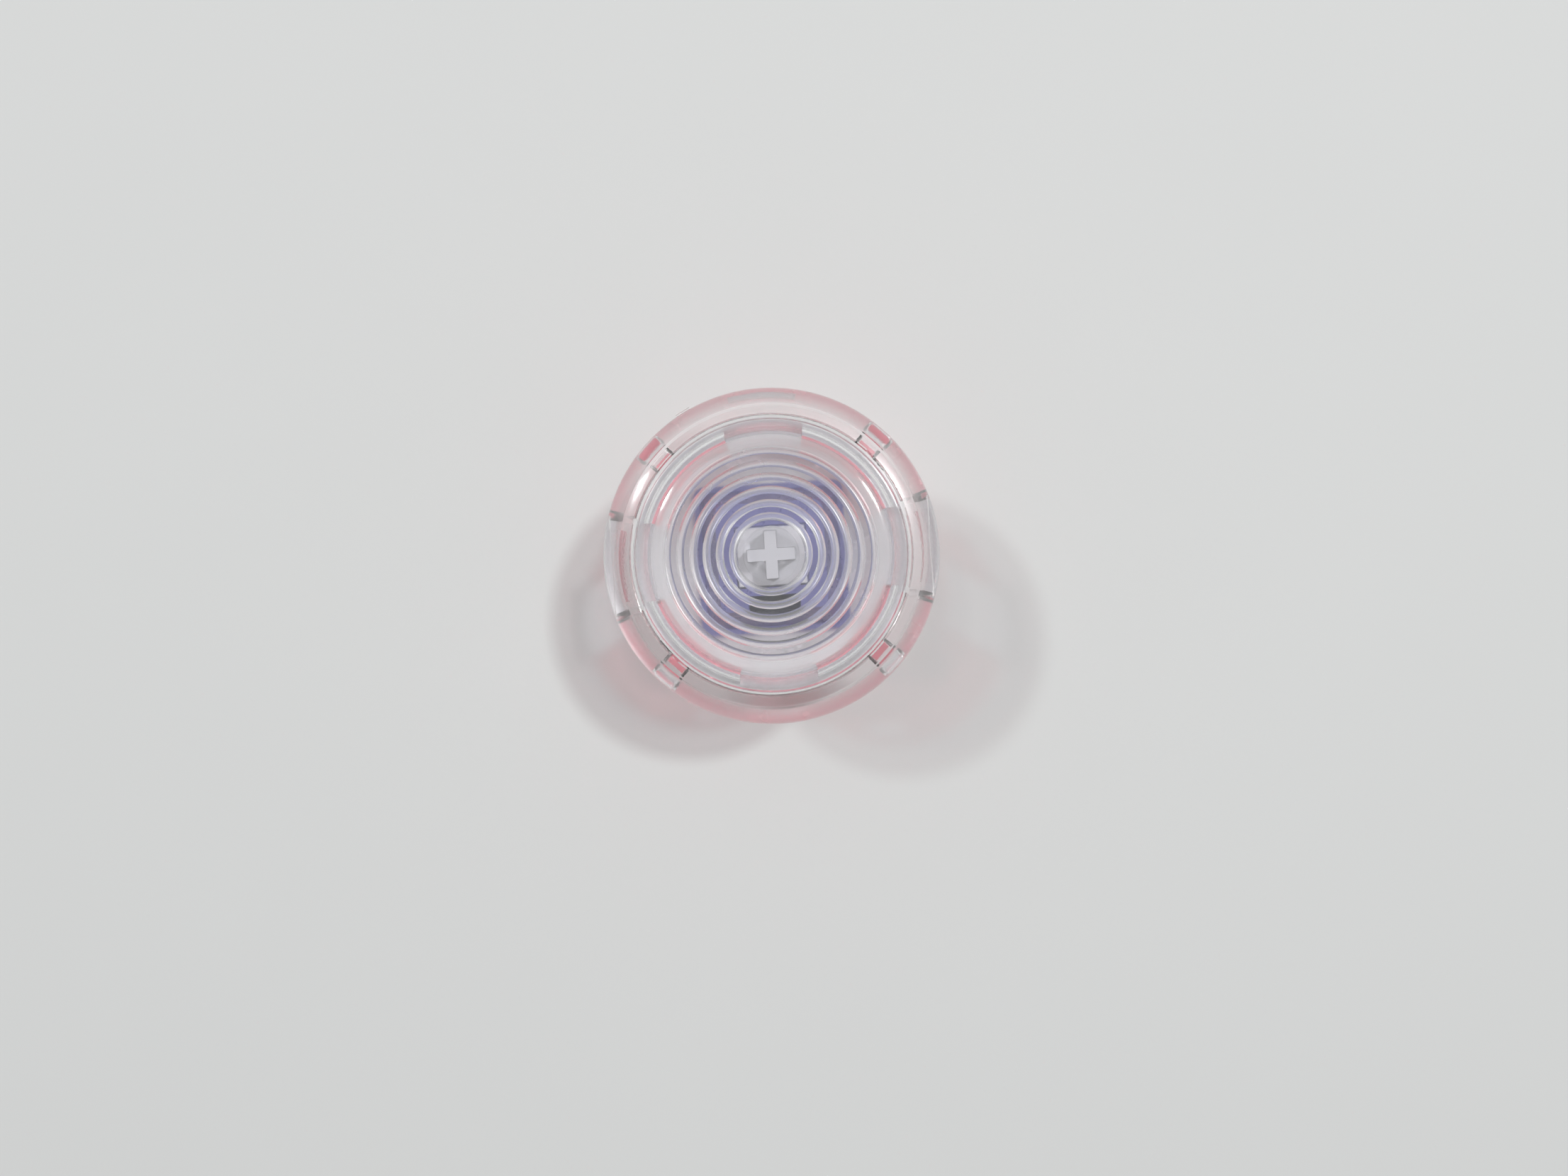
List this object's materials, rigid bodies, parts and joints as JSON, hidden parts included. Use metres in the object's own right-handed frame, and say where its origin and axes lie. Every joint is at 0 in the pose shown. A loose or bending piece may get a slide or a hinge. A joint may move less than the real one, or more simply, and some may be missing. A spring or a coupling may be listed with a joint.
{
  "type": "arcade push button",
  "caption": "Round snap-in arcade push button: clear rounded bezel, clear grooved plunger on guide legs, red inner body, cross-stem key switch and shrouded blade terminals.",
  "frame": {"origin": "on the button's axis, in the plane of the panel's face where the bezel seats", "axes": "+Z out of the panel towards the finger, X through the snap arms, -Y towards the window side of the switch"},
  "size_m": [0.0334, 0.0334, 0.0318],
  "materials": {
    "clear_plastic": "clear, satin on the bezel",
    "red_clear_plastic": "translucent red",
    "indigo_plastic": "smoky indigo",
    "dark_plastic": "matte",
    "pale_plastic": "satin",
    "spring_steel": "drawn wire",
    "contact_bronze": "rolled strip",
    "contact_gold": "polished",
    "board_laminate": "white solder mask",
    "tinned_brass": "tin plated",
    "solder": "bright"
  },
  "bodies": {
    "housing": {"bezel_collar": "clear_plastic", "inner_body": "red_clear_plastic", "switch_carrier": "clear_plastic", "switch_upper_housing": "indigo_plastic", "switch_lower_housing": "dark_plastic", "switch_spring": "spring_steel", "fixed_contact": "contact_bronze", "fixed_contact_tip": "contact_gold", "moving_contact": "contact_bronze", "moving_contact_tip": "contact_gold", "circuit_board": "board_laminate", "terminal_left": "tinned_brass", "terminal_right": "tinned_brass", "solder_fixed_pin": "solder", "solder_moving_pin": "solder", "solder_terminal_left": "solder", "solder_terminal_right": "solder"},
    "button": {"plunger": "clear_plastic", "switch_stem": "pale_plastic"}
  },
  "joints": [
    {"name": "plunger_press", "type": "slide", "parent": "housing", "child": "button", "axis": [0, 0, -1], "range_m": [0, 0.0032], "stiffness_N_per_m": 100, "springref_m": -0.0045, "deforming": ["switch_spring"]}
  ]
}
